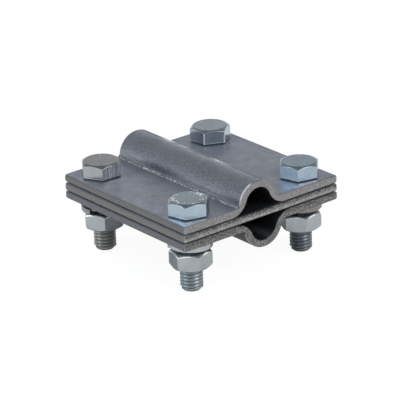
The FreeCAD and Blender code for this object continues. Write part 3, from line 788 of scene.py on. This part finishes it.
# How each washer's low end is turned, and its plating's bright and dull tones.
washers = {
    "front_left": (136.0, (0.56, 0.60, 0.60, 1), (0.42, 0.45, 0.46, 1)),
    "rear_left": (-163.5, (0.34, 0.36, 0.38, 1), (0.22, 0.22, 0.22, 1)),
    # The front right washer's dark tones are painted shade from the plate over it.
    "front_right": (178.0, (0.30, 0.28, 0.25, 1), (0.19, 0.18, 0.165, 1)),
    "rear_right": (60.0, (0.50, 0.53, 0.53, 1), (0.40, 0.42, 0.43, 1)),
}


def make_spring_washer(name, side_x, side_y, turn):
    """A wire with rounded edges, wound on upwards for almost a full turn."""
    bm = bmesh.new()
    middle = ((washer_inner + washer_outer) / 2, 0, washer_low + washer_thickness / 2)
    upright = Matrix.Rotation(math.radians(90), 4, "X")
    wire = Matrix.Diagonal((washer_outer - washer_inner, washer_thickness, 1, 1))
    bmesh.ops.create_grid(bm, x_segments=1, y_segments=1, size=0.5,
                          matrix=Matrix.Translation(middle) @ upright @ wire)
    bmesh.ops.bevel(bm, geom=bm.verts[:], offset=washer_edge_radius, offset_type="OFFSET",
                    affect="VERTICES", segments=3, profile=0.5, material=-1)
    outline = bm.edges[:]
    bmesh.ops.delete(bm, geom=bm.faces[:], context="FACES_ONLY")
    bmesh.ops.spin(bm, geom=bm.verts[:] + outline, cent=(0, 0, 0), axis=(0, 0, 1), steps=washer_steps,
                   angle=-math.radians(washer_length), dvec=(0, 0, washer_rise / washer_steps))
    bmesh.ops.holes_fill(bm, edges=bm.edges[:])
    return stand_on_bolt(bm, name, side_x, side_y, turn)


for corner, (side_x, side_y) in corners.items():
    turn, bright, dull = washers[corner]
    zinc = new_material("washer_zinc_" + corner)
    place = add_node(zinc, "TexCoord").outputs["Object"]
    colour, roughness, height = paint_plating(zinc, place, bright, dull)
    finish_zinc(zinc, colour, washer_metallic, roughness, height, plating_bump, plating_bump_depth)
    washer = make_spring_washer("split_washer_" + corner, side_x, side_y, turn)
    washer.data.materials.append(zinc)
    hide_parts("spring_washer_" + corner)
    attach(washer, "lower_plate_and_washers")

# The four nuts: M8 hexagon nuts, chamfered on both faces, bright zinc plated,
# screwed up the bolts against the spring washers.
nut_underside, nut_height, nut_flats, nut_edge_radius = 8.2, 6.5, 13.0, 0.30
nut_chamfer_radius, nut_bore_radius, nut_mouth_chamfer = 5.85, 4.0, 0.45
nut_turns = {"front_left": 15.6, "rear_left": 56.0, "front_right": 6.9, "rear_right": 28.0}
nut_bright, nut_dull = (0.50, 0.53, 0.545, 1), (0.40, 0.425, 0.44, 1)


def make_nut(name, side_x, side_y, turn):
    """A nut whose skin is drawn from its bore round both chamfered faces and back."""
    bm = bmesh.new()
    flats = hexagon_radius(nut_flats)
    inset = hexagon_radius(nut_flats, nut_edge_radius)
    mouth = nut_bore_radius + nut_mouth_chamfer

    def lower(reach):
        return (reach - nut_chamfer_radius) * chamfer_slope

    def upper(reach):
        return nut_height - lower(reach)

    first = start_hexagon(bm, nut_bore_radius, nut_mouth_chamfer)
    last = add_rings(bm, first, (
        (mouth, 0),
        (nut_chamfer_radius - 0.2, 0),
        (nut_chamfer_radius + 0.15, lower),
        (inset, lower),
        (flats, lambda reach: lower(reach) + nut_edge_radius),
        (flats, lambda reach: upper(reach) - nut_edge_radius),
        (inset, upper),
        (nut_chamfer_radius + 0.15, upper),
        (nut_chamfer_radius - 0.2, nut_height),
        (mouth, nut_height),
        (nut_bore_radius, nut_height - nut_mouth_chamfer),
    ))
    bmesh.ops.bridge_loops(bm, edges=first + last)
    return stand_on_bolt(bm, name, side_x, side_y, turn, nut_underside)


def paint_nut(name, side_x, side_y):
    """Plating with painted glints, in places, along the rounding under the upper chamfer."""
    zinc, place, x, y, z = start_zinc(name)
    colour, roughness, height = paint_plating(zinc, place, nut_bright, nut_dull)
    reach = distance(zinc, combine(zinc, "SUBTRACT", x, side_x * bolt_x),
                     combine(zinc, "SUBTRACT", y, side_y * bolt_y))
    cone_tip = nut_underside + nut_height + nut_chamfer_radius * chamfer_slope
    below_cone = combine(zinc, "SUBTRACT", cone_tip,
                         combine(zinc, "ADD", z, times(zinc, reach, chamfer_slope)))
    # Painted glints along the rounding under the upper chamfer, broken into patches.
    painted_glints = times(zinc, between(zinc, below_cone, 0.0, 0.03, 0.30, 0.40),
                   ramp(zinc, noise(zinc, place, 230, 2), 0.50, 0.58))
    colour = mix(zinc, painted_glints, colour, white)
    roughness = combine(zinc, "SUBTRACT", roughness, times(zinc, painted_glints, 0.10))
    finish_zinc(zinc, colour, 1.0, roughness, height, plating_bump, plating_bump_depth)
    return zinc


for corner, (side_x, side_y) in corners.items():
    nut = make_nut("hex_nut_" + corner, side_x, side_y, nut_turns[corner])
    nut.data.materials.append(paint_nut("nut_zinc_" + corner, side_x, side_y))
    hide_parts("nut_" + corner)
    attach(nut, "nut_" + corner)
